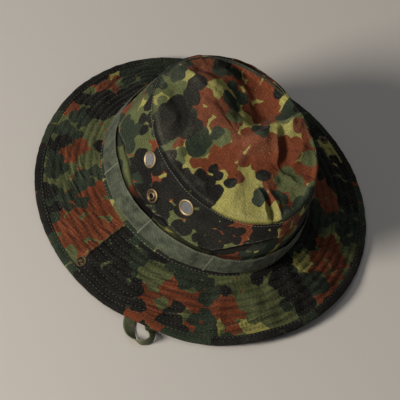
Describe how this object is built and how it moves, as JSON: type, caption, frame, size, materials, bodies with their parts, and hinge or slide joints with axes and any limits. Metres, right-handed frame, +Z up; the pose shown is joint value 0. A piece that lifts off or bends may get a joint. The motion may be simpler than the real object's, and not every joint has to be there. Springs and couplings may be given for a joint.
{
  "type": "wide-brim field hat",
  "caption": "Soft cotton field hat with a stitched stiff brim whose sides fold up and snap to the crown, screened vents, a webbing band and a chin strap with a slider.",
  "frame": {"origin": "On the table under the middle of the brim, with the hat lying on its brim edge.", "axes": "+Z is up through the crown, -Y is the front of the hat, and the snaps are on the -X and +X sides."},
  "size_m": [0.2975, 0.3164, 0.1273],
  "materials": {
    "camouflage_cotton": "matte printed cotton",
    "webbing": "matte ribbed webbing",
    "strap_tape": "matte woven tape",
    "thread": "matte thread",
    "stiff_lining": "matte canvas",
    "bias_binding": "matte printed cotton",
    "wire_mesh": "dull fine mesh",
    "bright_brass": "satin",
    "aged_brass": "worn antique",
    "sweatband_cotton": "matte cotton",
    "label_cloth": "matte woven",
    "leather": "worn satin",
    "dark_tape": "matte tape"
  },
  "bodies": {
    "hat": {"crown_top": "camouflage_cotton", "crown_side_left": "camouflage_cotton", "crown_side_right": "camouflage_cotton", "crown_seam_tape": "dark_tape", "foliage_band": "webbing", "band_bar_tacks": "thread", "sweatband": "sweatband_cotton", "size_label": "label_cloth", "brim_front_outer_cloth": "camouflage_cotton", "brim_front_lining": "stiff_lining", "brim_front_inner_cloth": "camouflage_cotton", "brim_back_outer_cloth": "camouflage_cotton", "brim_back_lining": "stiff_lining", "brim_back_inner_cloth": "camouflage_cotton", "binding_front": "bias_binding", "binding_back": "bias_binding", "vent_left_front_eyelet": "bright_brass", "vent_left_back_eyelet": "bright_brass", "vent_right_front_eyelet": "bright_brass", "vent_right_back_eyelet": "bright_brass", "vent_left_front_screen": "wire_mesh", "vent_left_back_screen": "wire_mesh", "vent_right_front_screen": "wire_mesh", "vent_right_back_screen": "wire_mesh", "vent_left_front_washer": "bright_brass", "vent_left_back_washer": "bright_brass", "vent_right_front_washer": "bright_brass", "vent_right_back_washer": "bright_brass", "snap_socket_left": "aged_brass", "snap_socket_right": "aged_brass", "socket_cap_left": "aged_brass", "socket_cap_right": "aged_brass", "chin_strap": "strap_tape", "strap_anchor_left": "dark_tape", "strap_anchor_right": "dark_tape"},
    "left_brim": {"brim_left_outer_cloth": "camouflage_cotton", "brim_left_lining": "stiff_lining", "brim_left_inner_cloth": "camouflage_cotton", "binding_left": "bias_binding", "snap_stud_left": "bright_brass", "stud_cap_left": "aged_brass"},
    "right_brim": {"brim_right_outer_cloth": "camouflage_cotton", "brim_right_lining": "stiff_lining", "brim_right_inner_cloth": "camouflage_cotton", "binding_right": "bias_binding", "snap_stud_right": "bright_brass", "stud_cap_right": "aged_brass"},
    "slider": {"strap_slider": "leather"}
  },
  "joints": [
    {"name": "left_brim_fold", "type": "hinge", "parent": "hat", "child": "left_brim", "pos_m": [-0.0915, -0.004, 0.02249], "axis": [0, 1, 0], "range_deg": [0, 133.9]},
    {"name": "right_brim_fold", "type": "hinge", "parent": "hat", "child": "right_brim", "pos_m": [0.089, -0.004, 0.02983], "axis": [0, -1, 0], "range_deg": [0, 123.8]},
    {"name": "strap_slide", "type": "slide", "parent": "hat", "child": "slider", "axis": [-0.8192, -0.5735, 0], "range_m": [-0.024, 0.026]}
  ]
}
